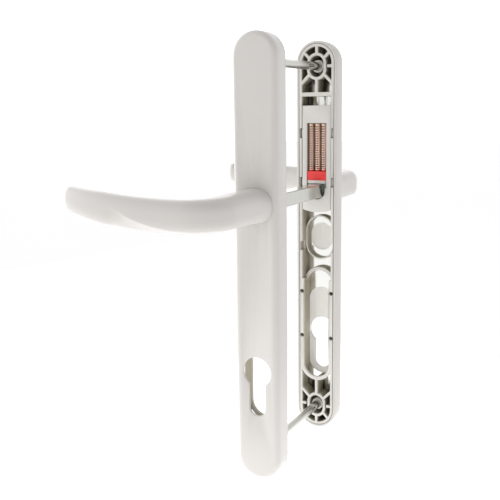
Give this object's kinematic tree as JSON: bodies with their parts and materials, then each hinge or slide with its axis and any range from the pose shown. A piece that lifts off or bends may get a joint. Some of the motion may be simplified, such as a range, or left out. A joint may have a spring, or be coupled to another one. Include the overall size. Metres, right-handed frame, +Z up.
{
  "type": "door lever handle set",
  "caption": "Pair of sprung white lever handles on long narrow backplates with euro keyholes, joined through the door by a square spindle and bolts.",
  "frame": {"origin": "on the spindle's axis, in the plane where the outer plate sits on the door", "axes": "+Z up along the plates, +Y through the door from outside to inside, +X to the right as seen from outside"},
  "size_m": [0.105, 0.2082, 0.245],
  "materials": {
    "white_paint": "gloss white powder coat",
    "white_nylon": "moulded white nylon",
    "cassette_lid": "moulded pale grey nylon",
    "red_plastic": "moulded red acetal",
    "copper_spring": "copper-plated spring wire",
    "polished_steel": "polished",
    "zinc": "die-cast zinc",
    "zinc_plated": "bright zinc plate",
    "bright_steel": "satin",
    "spring_steel": "dark phosphated"
  },
  "bodies": {
    "plates": {"outer_shell": "white_paint", "outer_liner": "polished_steel", "outer_frame": "white_nylon", "outer_cassette_housing": "white_nylon", "outer_cassette_lid": "cassette_lid", "outer_spring_left": "copper_spring", "outer_spring_middle": "copper_spring", "outer_spring_right": "copper_spring", "outer_bush": "white_nylon", "outer_washer": "bright_steel", "inner_shell": "white_paint", "inner_liner": "polished_steel", "inner_frame": "white_nylon", "inner_cassette_housing": "white_nylon", "inner_cassette_lid": "cassette_lid", "inner_spring_left": "copper_spring", "inner_spring_middle": "copper_spring", "inner_spring_right": "copper_spring", "inner_bush": "white_nylon", "inner_washer": "bright_steel", "fixing_bolts": "zinc_plated"},
    "lever_set": {"outer_lever": "white_paint", "inner_lever": "white_paint", "spindle": "zinc_plated", "outer_cam": "zinc", "outer_circlip": "spring_steel", "inner_cam": "zinc", "inner_circlip": "spring_steel"},
    "outer_slider": {"outer_slider": "red_plastic", "outer_slider_foot": "zinc_plated"},
    "inner_slider": {"inner_slider": "red_plastic", "inner_slider_foot": "zinc_plated"}
  },
  "joints": [
    {"name": "lever_turn", "type": "hinge", "parent": "plates", "child": "lever_set", "pos_m": [0, 0, 0], "axis": [0, -1, 0], "range_deg": [0, 40], "stiffness_Nm_per_rad": 1.5, "springref_deg": -20.05},
    {"name": "outer_slide", "type": "slide", "parent": "plates", "child": "outer_slider", "axis": [0, 0, 1], "range_m": [0, 0.0028], "deforming": ["outer_spring_left", "outer_spring_middle", "outer_spring_right"]},
    {"name": "inner_slide", "type": "slide", "parent": "plates", "child": "inner_slider", "axis": [0, 0, 1], "range_m": [0, 0.0028], "deforming": ["inner_spring_left", "inner_spring_middle", "inner_spring_right"]}
  ],
  "couplings": [
    {"joint": "outer_slide", "follows": "lever_turn", "m_per_rad": 0.004},
    {"joint": "inner_slide", "follows": "lever_turn", "m_per_rad": 0.004}
  ]
}
